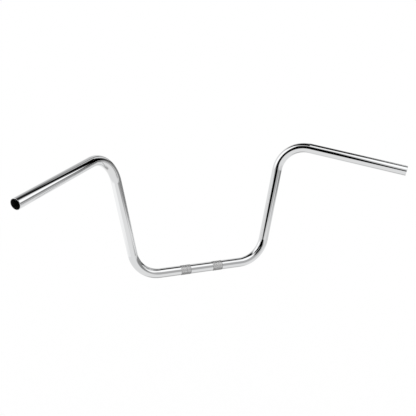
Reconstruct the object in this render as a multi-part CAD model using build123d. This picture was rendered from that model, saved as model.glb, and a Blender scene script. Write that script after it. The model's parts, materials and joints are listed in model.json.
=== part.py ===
from build123d import *
import os
from math import cos, isclose, pi, radians, sin, tan

# Driving dimensions, in millimetres and degrees.
# The corners are where the straight runs of the centre line would meet without their bends.
TUBE_DIAMETER = 25.4      # one-inch bar
WALL = 2.0
BEND_RADIUS = 72.0        # centre-line radius of all four bends
BASE_WIDTH = 346.0        # between the two corners at the foot of the uprights
TOP_WIDTH = 466.0         # between the two corners at the head of the uprights
RISE = 322.0              # from the axis of the centre run up to the top corners
END_WIDTH = 940.0         # between the centres of the open ends
PULLBACK = 214.0          # from the plane of the uprights back to the open ends
GRIP_DROP = 56.0          # from the top corners down to the open ends
MOUTH_CHAMFER = 0.9       # inside edge of each open end
RIM_CHAMFER = 0.4         # outside edge of each open end

# The two knurled bands where the risers clamp the bar.
RISER_SPACING = 88.9      # between the middles of the bands
BAND_WIDTH = 27.4
KNURL_TEETH = 30          # diamonds around the bar
KNURL_ANGLE = 30.0        # of the rolled grooves, from the axis of the bar
KNURL_DEPTH = 0.4         # from the tips of the diamonds down to the grooves
KNURL_PROUD = 0.05        # rise of the tips above the plain tube

TUBE_RADIUS = TUBE_DIAMETER / 2
BORE_RADIUS = TUBE_RADIUS - WALL
TIP_RADIUS = TUBE_RADIUS + KNURL_PROUD
GROOVE_RADIUS = TIP_RADIUS - KNURL_DEPTH
SAME_PLACE = 0.001        # how close two points lie when they are the same


def centre_line():
    """The bar's centre line from the left end to the right one: straight runs and tangent bends."""
    right = [
        Vector(BASE_WIDTH / 2, 0, 0),
        Vector(TOP_WIDTH / 2, 0, RISE),
        Vector(END_WIDTH / 2, -PULLBACK, RISE - GRIP_DROP),
    ]
    left = [Vector(-corner.X, corner.Y, corner.Z) for corner in reversed(right)]
    return FilletPolyline(*left, *right, radius=BEND_RADIUS)


def rod(line, radius):
    """A round rod swept along the whole centre line."""
    return sweep(Plane(origin=line @ 0, z_dir=line % 0) * Circle(radius), line)


def knurled_band():
    """A solid band about the X axis whose skin is a field of diamond pyramids.

    Tips and grooves alternate over a grid of rows along the bar and columns around it. The first
    and last rows lie at the depth of the grooves, where the rolled pattern runs out.
    """
    columns = 2 * KNURL_TEETH
    row_pitch = pi * TUBE_RADIUS / KNURL_TEETH / tan(radians(KNURL_ANGLE))
    rows = 2 * round(BAND_WIDTH / row_pitch / 2)

    def point(row, column):
        at_tip = (row + column) % 2 == 1 and 0 < row < rows
        radius = TIP_RADIUS if at_tip else GROOVE_RADIUS
        angle = 2 * pi * column / columns
        along = BAND_WIDTH * (row / rows - 0.5)
        return Vector(along, radius * cos(angle), radius * sin(angle))

    skin = []
    for row in range(rows):
        for column in range(columns):
            corners = [(row, column), (row + 1, column), (row + 1, column + 1), (row, column + 1)]
            # the fold of each cell lies along its groove, between its two low corners
            first = (row + column) % 2
            a, b, c, d = [point(*corners[(first + turn) % 4]) for turn in range(4)]
            skin += [Face(Polyline(a, b, c, close=True)), Face(Polyline(a, c, d, close=True))]
    for row in (0, rows):
        rim = [point(row, column) for column in range(columns)]
        skin.append(Face(Polyline(*rim, close=True)))
    return Solid(Shell(skin))


def end_edges(bar, line, radius):
    """The circular edges of that radius at the two open ends of the bar."""
    return [
        edge
        for edge in bar.edges().filter_by(GeomType.CIRCLE)
        if isclose(edge.radius, radius)
        and any((edge.arc_center - end).length < SAME_PLACE for end in (line @ 0, line @ 1))
    ]


def handlebar():
    """The whole bar: one bent tube with its two knurled bands."""
    line = centre_line()
    bar = rod(line, TUBE_RADIUS)
    band = knurled_band()
    gap = Rot(Y=90) * Cylinder(TUBE_RADIUS + WALL, BAND_WIDTH)
    for side in (-1, 1):
        seat = Pos(X=side * RISER_SPACING / 2)
        bar = bar - seat * gap + seat * band
    bar -= rod(line, BORE_RADIUS)
    bar = chamfer(end_edges(bar, line, BORE_RADIUS), MOUTH_CHAMFER)
    return chamfer(end_edges(bar, line, TUBE_RADIUS), RIM_CHAMFER)


os.makedirs("parts", exist_ok=True)
export_step(handlebar(), "parts/handlebar.step")
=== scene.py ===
"""Finishes, studio and camera of the chrome ape hanger handlebar.

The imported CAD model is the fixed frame. Its one node, the bent tube, keeps its mesh and is dressed
here: bright plate with its polishing lines, satin knurled bands, dark steel inside the tube.
"""

from __future__ import annotations

import json
import logging
import math
from dataclasses import dataclass, field
from enum import Enum
from typing import Any, Union

import bmesh
import bpy
from mathutils import Matrix, Vector


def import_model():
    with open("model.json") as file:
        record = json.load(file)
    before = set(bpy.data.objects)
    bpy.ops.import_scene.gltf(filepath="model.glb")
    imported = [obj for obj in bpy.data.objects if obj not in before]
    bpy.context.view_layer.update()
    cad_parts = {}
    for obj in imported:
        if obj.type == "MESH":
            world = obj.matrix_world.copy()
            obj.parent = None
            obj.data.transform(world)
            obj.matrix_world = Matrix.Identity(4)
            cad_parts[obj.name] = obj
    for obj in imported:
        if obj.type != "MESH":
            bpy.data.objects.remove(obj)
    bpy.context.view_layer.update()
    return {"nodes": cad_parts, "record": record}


LOG = logging.getLogger("handlebar")
MM = 0.001
WHITE = (1.0, 1.0, 1.0)
NO_VECTOR = (0.0, 0.0, 0.0)
UP = (0.0, 0.0, 1.0)
# Shares of a position along the clamp section's axis and away from it.
ALONG = (1.0, 0.0, 0.0)
AWAY = (0.0, 1.0, 1.0)
# Places of the colour sockets on a Mix node.
MIX_FIRST, MIX_SECOND, MIX_RESULT = 6, 7, 2

Colour = tuple[float, float, float]
Number = Union["Signal", float]


class Signal:
    """A shader socket with one number, which Python arithmetic turns into Math nodes."""

    def __init__(self, bench: NodeBench, socket: bpy.types.NodeSocket) -> None:
        """Wrap an output socket of the bench's node tree."""
        self.bench = bench
        self.socket = socket

    def __add__(self, other: Number) -> Signal:
        """The sum of this value and another."""
        return self.bench.math("ADD", self, other)

    def __radd__(self, other: float) -> Signal:
        """The sum of a number and this value."""
        return self.bench.math("ADD", other, self)

    def __sub__(self, other: Number) -> Signal:
        """This value less another."""
        return self.bench.math("SUBTRACT", self, other)

    def __rsub__(self, other: float) -> Signal:
        """A number less this value."""
        return self.bench.math("SUBTRACT", other, self)

    def __mul__(self, other: Number) -> Signal:
        """The product of this value and another."""
        return self.bench.math("MULTIPLY", self, other)

    def __rmul__(self, other: float) -> Signal:
        """The product of a number and this value."""
        return self.bench.math("MULTIPLY", other, self)

    def __truediv__(self, other: Number) -> Signal:
        """This value divided by another."""
        return self.bench.math("DIVIDE", self, other)

    def __rtruediv__(self, other: float) -> Signal:
        """A number divided by this value."""
        return self.bench.math("DIVIDE", other, self)

    def __pow__(self, power: Number) -> Signal:
        """This value raised to a power."""
        return self.bench.math("POWER", self, power)

    def __rpow__(self, base: float) -> Signal:
        """A number raised to the power of this value."""
        return self.bench.math("POWER", base, self)

    def __abs__(self) -> Signal:
        """This value without its sign."""
        return self.bench.math("ABSOLUTE", self)


class NodeBench:
    """Adds nodes to one node tree and wires them."""

    def __init__(self, tree: bpy.types.NodeTree) -> None:
        """Take over a node tree and empty it."""
        self.tree = tree
        tree.nodes.clear()

    def node(
        self,
        kind: str,
        settings: dict[str, Any] | None = None,
        inputs: dict[int | str, Any] | None = None,
    ) -> bpy.types.Node:
        """Add one node.

        Args:
            kind: The node's type.
            settings: Its properties, which are set before the sockets.
            inputs: A number, a colour or a link for each socket, by name or place.

        Returns:
            The new node.
        """
        made = self.tree.nodes.new(kind)
        for name, value in (settings or {}).items():
            setattr(made, name, value)
        for key, value in (inputs or {}).items():
            source = value.socket if isinstance(value, Signal) else value
            if isinstance(source, bpy.types.NodeSocket):
                self.tree.links.new(source, made.inputs[key])
            else:
                made.inputs[key].default_value = source
        return made

    def signal(self, node: bpy.types.Node, output: int | str = 0) -> Signal:
        """One of a node's outputs, ready for arithmetic."""
        return Signal(self, node.outputs[output])

    def math(self, operation: str, first: Number, second: Number = 0.0) -> Signal:
        """The result of one Math node."""
        return self.signal(self.node("ShaderNodeMath", {"operation": operation}, {0: first, 1: second}))

    def fade(self, value: Number, start: float, end: float) -> Signal:
        """A smooth step of the value.

        Args:
            value: What is compared.
            start: Where the step begins; it may be the larger of the two.
            end: Where the step is complete.

        Returns:
            0 before the start and 1 past the end.
        """
        if start > end:
            return 1 - self.fade(value, end, start)
        settings = {"interpolation_type": "SMOOTHSTEP", "clamp": True}
        inputs = {"Value": value, "From Min": start, "From Max": end}
        return self.signal(self.node("ShaderNodeMapRange", settings, inputs))

    def vector(self, operation: str, first: Any, second: Any = NO_VECTOR) -> bpy.types.NodeSocket:
        """The vector that one Vector Math node gives."""
        node = self.node("ShaderNodeVectorMath", {"operation": operation}, {0: first, 1: second})
        return node.outputs["Vector"]

    def measure(self, operation: str, first: Any, second: Any = NO_VECTOR) -> Signal:
        """The number that one Vector Math node gives, such as a length or a dot product."""
        node = self.node("ShaderNodeVectorMath", {"operation": operation}, {0: first, 1: second})
        return self.signal(node, "Value")

    def mix(self, share: Number, first: Any, second: Any) -> bpy.types.NodeSocket:
        """A colour or a direction between two others, each given as a link or a triple.

        Args:
            share: Share of the second one.
            first: What it is where the share is 0.
            second: What it is where the share is 1.

        Returns:
            The mixture.
        """
        ends = [(*c, 1.0) if isinstance(c, tuple) else c for c in (first, second)]
        node = self.node(
            "ShaderNodeMix",
            {"data_type": "RGBA", "clamp_factor": True},
            {0: share, MIX_FIRST: ends[0], MIX_SECOND: ends[1]},
        )
        return node.outputs[MIX_RESULT]

    def blend(self, share: Signal, first: Number, second: Number) -> Signal:
        """A number between two others, by the share of the second."""
        return first + share * (second - first)

    def noise(self, place: bpy.types.NodeSocket, scale: float) -> Signal:
        """Soft noise from 0 to 1 over a position, with so many lumps in a metre."""
        return self.signal(self.node("ShaderNodeTexNoise", None, {"Vector": place, "Scale": scale}))

    def lines(self, along: Signal, scale: float) -> Signal:
        """Noise from 0 to 1 that changes along one length only, with so many lines in a metre."""
        return self.signal(
            self.node("ShaderNodeTexNoise", {"noise_dimensions": "1D"}, {"W": along, "Scale": scale})
        )


class Outline(Enum):
    """Shape of a zone of the studio."""

    CARD = "straight edges"
    POOL = "rounded"


@dataclass(frozen=True)
class Zone:
    """A patch of the studio round the bar, placed by its direction and mirrored in the chrome.

    Attributes:
        name: What stands there.
        azimuth: From and to, in degrees from the rider's side, positive towards the right grip.
        elevation: From and to, in degrees above the level of the bar.
        shade: Its brightness, where 1 is white.
        soft: Width of its soft edge, in degrees.
        outline: Straight-edged or rounded.
    """

    name: str
    azimuth: tuple[float, float]
    elevation: tuple[float, float]
    shade: float
    soft: float
    outline: Outline = Outline.CARD

    def mask(self, bench: NodeBench, direction: bpy.types.NodeSocket, height: Signal) -> Signal:
        """How much of this zone a mirrored ray sees.

        Args:
            bench: Where the nodes are added.
            direction: Where the ray goes.
            height: The ray's angle above the level of the bar.

        Returns:
            1 inside the zone and 0 outside it.
        """
        middle = math.radians(sum(self.azimuth) / 2)
        ahead = (math.sin(middle), -math.cos(middle), 0.0)
        aside = (math.cos(middle), math.sin(middle), 0.0)
        turn = bench.math(
            "ARCTAN2",
            bench.measure("DOT_PRODUCT", direction, aside),
            bench.measure("DOT_PRODUCT", direction, ahead),
        )
        lift = height - math.radians(sum(self.elevation) / 2)
        half_width = math.radians(self.azimuth[1] - self.azimuth[0]) / 2
        half_height = math.radians(self.elevation[1] - self.elevation[0]) / 2
        edge = math.radians(self.soft) / 2
        if self.outline is Outline.CARD:
            across = bench.fade(abs(turn), half_width + edge, half_width - edge)
            return across * bench.fade(abs(lift), half_height + edge, half_height - edge)
        reach = ((turn / half_width) ** 2 + (lift / half_height) ** 2) ** 0.5
        spread = edge / min(half_width, half_height)
        return bench.fade(reach, 1 + spread, 1 - spread)


@dataclass
class Studio:
    """The pale floor and the soft white room round the bar.

    Attributes:
        floor_radius: Of the round floor, in metres.
        floor_drop: How far the floor lies under the bar's middle run.
        floor_sides: Straight sides that the floor's rim is made of.
        floor_colour: The floor's own colour.
        room_shade: Brightness of what no zone covers.
        zones: What stands in the room, each painted over the ones before it.
    """

    floor_radius: float = 3.5
    floor_drop: float = 0.75
    floor_sides: int = 96
    floor_colour: Colour = WHITE
    room_shade: float = 0.98
    zones: tuple[Zone, ...] = (
        # the white sweep under the bar, and its edges
        Zone("back_sweep", (144, 215), (-52, -9), 1.05, 14),
        Zone("left_sweep", (-150, -58), (-31, -9), 1.22, 8),
        Zone("shaded_sweep", (66, 198), (-96, -60), 0.45, 20, Outline.POOL),
        Zone("right_sweep", (28, 112), (-28, -14), 0.83, 6),
        Zone("sweep_edge", (46, 122), (-18, -12), 0.32, 3),
        Zone("sweep_edge_front", (0, 44), (-12, -7), 0.45, 3),
        # the far wall and the ceiling
        Zone("zenith", (-190, 190), (84, 100), 0.1, 8),
        Zone("far_wall", (142, 206), (22, 70), 0.62, 28),
        Zone("dim_ceiling", (86, 236), (51, 100), 0.0, 18),
        Zone("back_ceiling", (178, 238), (45, 90), 0.0, 14),
        # the other walls and the softboxes
        Zone("side_wall", (-127, -80), (8, 59), 1.4, 14),
        Zone("side_ceiling", (-126, -44), (62, 100), 0.0, 14),
        Zone("grey_wall", (-14, 36), (-8, 37), 0.54, 10),
        Zone("overhead_softbox", (-38, 64), (41, 85), 1.4, 8),
        Zone("front_softbox", (34, 62), (16, 66), 1.35, 14),
        Zone("wall_foot", (30, 145), (-8, 15), 0.32, 4),
        Zone("grey_panel", (64, 88), (18, 66), 0.5, 12),
        Zone("strip_light", (79, 89.5), (14, 48), 1.4, 3),
        # the window and what stands before it
        Zone("window_frame", (91, 153), (5, 58.5), 0.0, 3, Outline.POOL),
        Zone("right_flag", (89, 100), (2, 31), 0.0, 1.5),
        Zone("flag_foot", (92, 99), (-11, -1), 0.12, 3),
        Zone("window", (106, 161), (10, 55.5), 0.82, 5, Outline.POOL),
        Zone("lamp_stand", (133, 146), (-12, 31), 0.3, 4),
        Zone("lamp_head", (131, 144), (31, 54), 0.0, 4),
        # black flags round the camera, with a gap between two of them
        Zone("left_flag", (-76, -37), (5, 52), 0.0, 4),
        Zone("camera_flag", (-42, -3), (-7, 35), 0.0, 5, Outline.POOL),
        Zone("flag_gap", (-39.5, -33.5), (15, 66), 0.7, 2),
        Zone("low_flag", (-66, -4), (-7, 11), 0.0, 5, Outline.POOL),
    )

    def build_floor(self) -> bpy.types.Object:
        """Make the round floor and its material.

        Returns:
            The floor.
        """
        mesh = bpy.data.meshes.new("floor")
        disc = bmesh.new()
        bmesh.ops.create_circle(
            disc, cap_ends=True, radius=self.floor_radius, segments=self.floor_sides
        )
        disc.to_mesh(mesh)
        disc.free()
        floor = bpy.data.objects.new("floor", mesh)
        floor.location.z = -self.floor_drop
        # the chrome mirrors the room's own sweep instead
        floor.visible_glossy = False
        bpy.context.scene.collection.objects.link(floor)

        material = bpy.data.materials.new("floor_paper")
        material.use_nodes = True
        bench = NodeBench(material.node_tree)
        paper = bench.node("ShaderNodeBsdfDiffuse", None, {"Color": (*self.floor_colour, 1.0)})
        bench.node("ShaderNodeOutputMaterial", None, {"Surface": paper.outputs[0]})
        mesh.materials.append(material)
        return floor

    def build_room(self) -> bpy.types.World:
        """Make the world: plain white light, and the zones of the room where chrome mirrors it.

        Returns:
            The world, set on the scene.
        """
        world = bpy.data.worlds.new("white_room")
        world.use_nodes = True
        bench = NodeBench(world.node_tree)
        direction = bench.node("ShaderNodeTexCoord").outputs["Generated"]
        height = bench.math("ARCSINE", bench.measure("DOT_PRODUCT", direction, UP))
        room: Any = (self.room_shade,) * 3
        for zone in self.zones:
            room = bench.mix(zone.mask(bench, direction, height), room, (zone.shade,) * 3)
        mirrored = bench.signal(bench.node("ShaderNodeLightPath"), "Is Glossy Ray")
        seen = bench.mix(mirrored, WHITE, room)
        light = bench.node("ShaderNodeBackground", None, {"Color": seen, "Strength": 1.0})
        bench.node("ShaderNodeOutputWorld", None, {"Surface": light.outputs[0]})
        # the light is found by bounced rays alone, so that each ray gets the room that its kind sees
        world.cycles.sampling_method = "NONE"
        bpy.context.scene.world = world
        return world


@dataclass(frozen=True)
class Coat:
    """Colour, roughness and metal of a surface, as shader values that may vary over it.

    Attributes:
        colour: Of the surface.
        roughness: 0 for a mirror.
        metallic: 1 for bare metal.
    """

    colour: bpy.types.NodeSocket
    roughness: Signal
    metallic: Number

    def under(self, bench: NodeBench, share: Signal, top: Coat) -> Coat:
        """This coat with another one over a share of it.

        Args:
            bench: Where the nodes are added.
            share: 1 where the other coat covers this one.
            top: The other coat.

        Returns:
            Both coats together.
        """
        return Coat(
            bench.mix(share, self.colour, top.colour),
            bench.blend(share, self.roughness, top.roughness),
            bench.blend(share, self.metallic, top.metallic),
        )


@dataclass(frozen=True)
class Finish:
    """How one kind of surface sends light back.

    Attributes:
        colour: Of the surface.
        tint: The colour that it drifts to in soft patches.
        metallic: 1 for bare metal.
        roughness: 0 for a mirror.
        grain: Roughness that its finest marks add.
    """

    colour: Colour
    tint: Colour
    metallic: float
    roughness: float
    grain: float

    def coat(self, bench: NodeBench, patches: Signal, marks: Signal) -> Coat:
        """Lay this finish out with its variation.

        Args:
            bench: Where the nodes are added.
            patches: Soft patches, from 0 to 1.
            marks: The finest marks, from 0 to 1.

        Returns:
            The finish as shader values.
        """
        return Coat(
            bench.mix(patches, self.colour, self.tint),
            self.roughness + marks * self.grain,
            self.metallic,
        )


BRIGHT_PLATE = Finish(
    colour=(0.73, 0.73, 0.73),
    tint=(0.71, 0.72, 0.73),
    metallic=1.0,
    roughness=0.01,
    grain=0.03,
)
SATIN_KNURL = Finish(
    colour=(0.92, 0.92, 0.92),
    tint=(0.87, 0.87, 0.87),
    metallic=1.0,
    roughness=0.15,
    grain=0.1,
)
# knurl grooves: darkened partly by dirt and partly by painted shade standing in for the recesses'
# shadow
GROOVE_DIRT_AND_SHADE = Finish(
    colour=(0.4, 0.4, 0.4),
    tint=(0.34, 0.34, 0.34),
    metallic=1.0,
    roughness=0.4,
    grain=0.1,
)
# painted shade: a near-black, rougher coat laid over the knurl's lower side so that it renders darker
KNURL_PAINTED_SHADE = Finish(
    colour=(0.1, 0.1, 0.1),
    tint=(0.08, 0.08, 0.08),
    metallic=1.0,
    roughness=0.4,
    grain=0.1,
)
BORE_STEEL = Finish(
    colour=(0.016, 0.015, 0.014),
    tint=(0.01, 0.009, 0.008),
    metallic=0.4,
    roughness=0.5,
    grain=0.2,
)


@dataclass
class Handlebar:
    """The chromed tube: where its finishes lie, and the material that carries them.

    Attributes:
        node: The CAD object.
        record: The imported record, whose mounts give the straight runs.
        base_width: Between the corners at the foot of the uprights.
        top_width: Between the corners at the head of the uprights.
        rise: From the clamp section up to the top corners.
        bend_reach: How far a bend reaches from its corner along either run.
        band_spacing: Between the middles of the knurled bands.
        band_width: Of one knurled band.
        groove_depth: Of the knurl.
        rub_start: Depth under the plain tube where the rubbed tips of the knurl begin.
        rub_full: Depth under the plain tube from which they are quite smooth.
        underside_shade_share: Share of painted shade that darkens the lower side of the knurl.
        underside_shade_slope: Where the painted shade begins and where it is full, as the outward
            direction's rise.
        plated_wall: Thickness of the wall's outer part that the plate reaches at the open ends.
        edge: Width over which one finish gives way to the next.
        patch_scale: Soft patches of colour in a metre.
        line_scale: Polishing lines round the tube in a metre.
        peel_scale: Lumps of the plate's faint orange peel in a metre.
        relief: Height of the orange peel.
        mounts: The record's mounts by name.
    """

    node: bpy.types.Object
    record: dict[str, Any]
    base_width: float = 346.0 * MM
    top_width: float = 466.0 * MM
    rise: float = 322.0 * MM
    bend_reach: float = 55.0 * MM
    band_spacing: float = 88.9 * MM
    band_width: float = 27.4 * MM
    groove_depth: float = 0.4 * MM
    rub_start: float = 0.26 * MM
    rub_full: float = 0.14 * MM
    # painted shade on the knurl's lower side: its share and where it begins
    underside_shade_share: float = 0.52
    underside_shade_slope: tuple[float, float] = (-0.1, -0.28)
    plated_wall: float = 0.8 * MM
    edge: float = 0.4 * MM
    patch_scale: float = 14.0
    line_scale: float = 900.0
    peel_scale: float = 260.0
    relief: float = 0.003 * MM
    mounts: dict[str, dict[str, Any]] = field(init=False)

    def __post_init__(self) -> None:
        """Sort the record's mounts by name."""
        self.mounts = {mount["name"]: mount for mount in self.record["mounts"]}

    @property
    def radius(self) -> float:
        """Outer radius of the tube, in metres."""
        return self.mounts["clamp_section"]["dims"]["r_mm"] * MM

    def folded(self, bench: NodeBench, place: bpy.types.NodeSocket) -> bpy.types.NodeSocket:
        """The position with the left half of the bar folded onto the right one."""
        aside = bench.vector("ABSOLUTE", bench.vector("MULTIPLY", place, ALONG))
        return bench.vector("ADD", aside, bench.vector("MULTIPLY", place, AWAY))

    def way_along(self, bench: NodeBench, folded: bpy.types.NodeSocket) -> Signal:
        """How far along the bar a point lies, from the middle out to the open end.

        Args:
            bench: Where the nodes are added.
            folded: Position with both halves of the bar folded onto the right one.

        Returns:
            The way in metres, blended from run to run inside the bends.
        """
        foot = Vector((self.base_width / 2, 0.0, 0.0))
        head = Vector((self.top_width / 2, 0.0, self.rise))
        upright = (head - foot).normalized()
        grip = Vector(self.mounts["grip_right"]["axis"])
        past_foot = bench.vector("SUBTRACT", folded, tuple(foot))
        past_head = bench.vector("SUBTRACT", folded, tuple(head))
        from_foot = bench.measure("DOT_PRODUCT", past_foot, tuple(upright))
        from_head = bench.measure("DOT_PRODUCT", past_head, tuple(grip))
        middle = bench.measure("DOT_PRODUCT", folded, ALONG)
        up_run = foot.length + from_foot
        grip_run = foot.length + (head - foot).length + from_head
        way = bench.blend(bench.fade(from_foot, -self.radius, self.bend_reach), middle, up_run)
        return bench.blend(bench.fade(from_head, -self.radius, self.bend_reach), way, grip_run)

    def band_mask(self, bench: NodeBench, folded: bpy.types.NodeSocket) -> Signal:
        """Mark the knurled bands.

        Args:
            bench: Where the nodes are added.
            folded: Position with both halves of the bar folded onto the right one.

        Returns:
            1 on the bands and 0 beside them.
        """
        middle = bench.measure("DOT_PRODUCT", folded, ALONG) - self.band_spacing / 2
        half_width = self.band_width / 2
        return bench.fade(abs(middle), half_width + self.edge / 2, half_width - self.edge / 2)

    def bore_mask(self, bench: NodeBench, folded: bpy.types.NodeSocket) -> Signal:
        """Mark the inside of the tube in the grip runs.

        Args:
            bench: Where the nodes are added.
            folded: Position with both halves of the bar folded onto the right one.

        Returns:
            1 in the bore and 0 outside.
        """
        grip = self.mounts["grip_right"]
        axis = tuple(grip["axis"])
        half_run = grip["dims"]["length_mm"] * MM / 2
        arm = bench.vector("SUBTRACT", folded, tuple(grip["pos_m"]))
        off_axis = bench.measure("LENGTH", bench.vector("CROSS_PRODUCT", arm, axis))
        inner = self.radius - self.plated_wall
        inside = bench.fade(off_axis, inner + self.edge / 2, inner - self.edge / 2)
        in_run = bench.fade(bench.measure("DOT_PRODUCT", arm, axis), -half_run, self.radius - half_run)
        return inside * in_run

    def knurl_coat(
        self,
        bench: NodeBench,
        arm: bpy.types.NodeSocket,
        patches: Signal,
        marks: Signal,
    ) -> Coat:
        """Lay out the knurl: satin tips, grooves darkened partly by dirt and partly by painted shade,
        and painted shade on its lower side.

        Args:
            bench: Where the nodes are added.
            arm: Position from the axis of the clamp section.
            patches: Soft patches, from 0 to 1.
            marks: The finest marks, from 0 to 1.

        Returns:
            The knurl's coat.
        """
        off_axis = bench.measure("LENGTH", arm)
        groove = bench.fade(off_axis, self.radius, self.radius - self.groove_depth)
        rise = bench.measure("DOT_PRODUCT", bench.vector("NORMALIZE", arm), UP)
        # painted shade: the knurl's lower side is darkened by where it faces, not by any real mark
        painted_underside = bench.fade(rise, *self.underside_shade_slope) * self.underside_shade_share
        coat = SATIN_KNURL.coat(bench, patches, marks)
        # grooves darkened: partly dirt, partly painted shade
        coat = coat.under(bench, groove, GROOVE_DIRT_AND_SHADE.coat(bench, patches, marks))
        return coat.under(bench, painted_underside, KNURL_PAINTED_SHADE.coat(bench, patches, marks))

    def facing(self, bench: NodeBench, arm: bpy.types.NodeSocket, band: Signal) -> bpy.types.NodeSocket:
        """Which way the surface faces, with the tips of the knurl rubbed down to the tube's own round.

        Args:
            bench: Where the nodes are added.
            arm: Position from the axis of the clamp section.
            band: 1 on the knurled bands.

        Returns:
            The direction.
        """
        off_axis = bench.measure("LENGTH", arm)
        tip = bench.fade(off_axis, self.radius - self.rub_start, self.radius - self.rub_full)
        own = bench.node("ShaderNodeNewGeometry").outputs["Normal"]
        outward = bench.node(
            "ShaderNodeVectorTransform",
            {"vector_type": "NORMAL", "convert_from": "OBJECT", "convert_to": "WORLD"},
            {"Vector": arm},
        )
        return bench.mix(band * tip, own, outward.outputs[0])

    def dress(self) -> bpy.types.Material:
        """Give the tube its material.

        Returns:
            The chrome material.
        """
        material = bpy.data.materials.new("chrome_plate")
        material.use_nodes = True
        bench = NodeBench(material.node_tree)
        place = bench.node("ShaderNodeTexCoord").outputs["Object"]
        folded = self.folded(bench, place)
        patches = bench.noise(place, self.patch_scale)
        peel = bench.noise(place, self.peel_scale)
        lines = bench.lines(self.way_along(bench, folded), self.line_scale)

        band = self.band_mask(bench, folded)
        arm = bench.vector("MULTIPLY", place, AWAY)
        coat = BRIGHT_PLATE.coat(bench, patches, lines)
        coat = coat.under(bench, band, self.knurl_coat(bench, arm, patches, peel))
        coat = coat.under(bench, self.bore_mask(bench, folded), BORE_STEEL.coat(bench, patches, peel))
        bump = bench.node(
            "ShaderNodeBump",
            None,
            {"Distance": self.relief, "Height": peel, "Normal": self.facing(bench, arm, band)},
        )
        surface = bench.node(
            "ShaderNodeBsdfPrincipled",
            None,
            {
                "Base Color": coat.colour,
                "Roughness": coat.roughness,
                "Metallic": coat.metallic,
                "Normal": bump.outputs[0],
            },
        )
        bench.node("ShaderNodeOutputMaterial", None, {"Surface": surface.outputs[0]})
        self.node.data.materials.clear()
        self.node.data.materials.append(material)
        return material


@dataclass
class PhotoCamera:
    """The camera at the photograph's viewing angle.

    Attributes:
        lens: Focal length in millimetres.
        distance: From the middle of the clamp section, in metres.
        azimuth: In degrees from the rider's side, positive towards the right grip.
        elevation: In degrees above the level of the bar.
        pan: Turn away from the clamp section, in degrees to the left.
        tilt: Turn away from the clamp section, in degrees upwards.
    """

    lens: float = 51.91
    distance: float = 1.5969
    azimuth: float = -21.585
    elevation: float = 20.154
    pan: float = -0.684
    tilt: float = 5.668

    def build(self) -> bpy.types.Object:
        """Make the camera and set it on the scene.

        Returns:
            The camera.
        """
        data = bpy.data.cameras.new("photo_camera")
        data.lens = self.lens
        camera = bpy.data.objects.new("photo_camera", data)
        bpy.context.scene.collection.objects.link(camera)
        turn, lift = math.radians(self.azimuth), math.radians(self.elevation)
        level = math.cos(lift)
        back = Vector((math.sin(turn) * level, -math.cos(turn) * level, math.sin(lift)))
        aim = (-back).to_track_quat("-Z", "Y").to_matrix()
        own_turn = Matrix.Rotation(math.radians(self.pan), 3, "Y")
        own_tilt = Matrix.Rotation(math.radians(self.tilt), 3, "X")
        turned = (aim @ own_turn @ own_tilt).to_4x4()
        camera.matrix_world = Matrix.Translation(back * self.distance) @ turned
        bpy.context.scene.camera = camera
        return camera


def main() -> None:
    """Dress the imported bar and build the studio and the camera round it."""
    logging.basicConfig(level=logging.INFO, format="%(name)s: %(message)s")
    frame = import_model()
    bpy.context.scene.view_settings.view_transform = "Standard"
    bar = Handlebar(frame["nodes"]["handlebar"], frame["record"])
    LOG.info("%s dressed in %s", bar.node.name, bar.dress().name)
    studio = Studio()
    LOG.info("%s laid", studio.build_floor().name)
    room = studio.build_room()
    LOG.info("%s lit, with %s", room.name, ", ".join(zone.name for zone in studio.zones))
    LOG.info("%s placed", PhotoCamera().build().name)


if __name__ == "__main__":
    main()
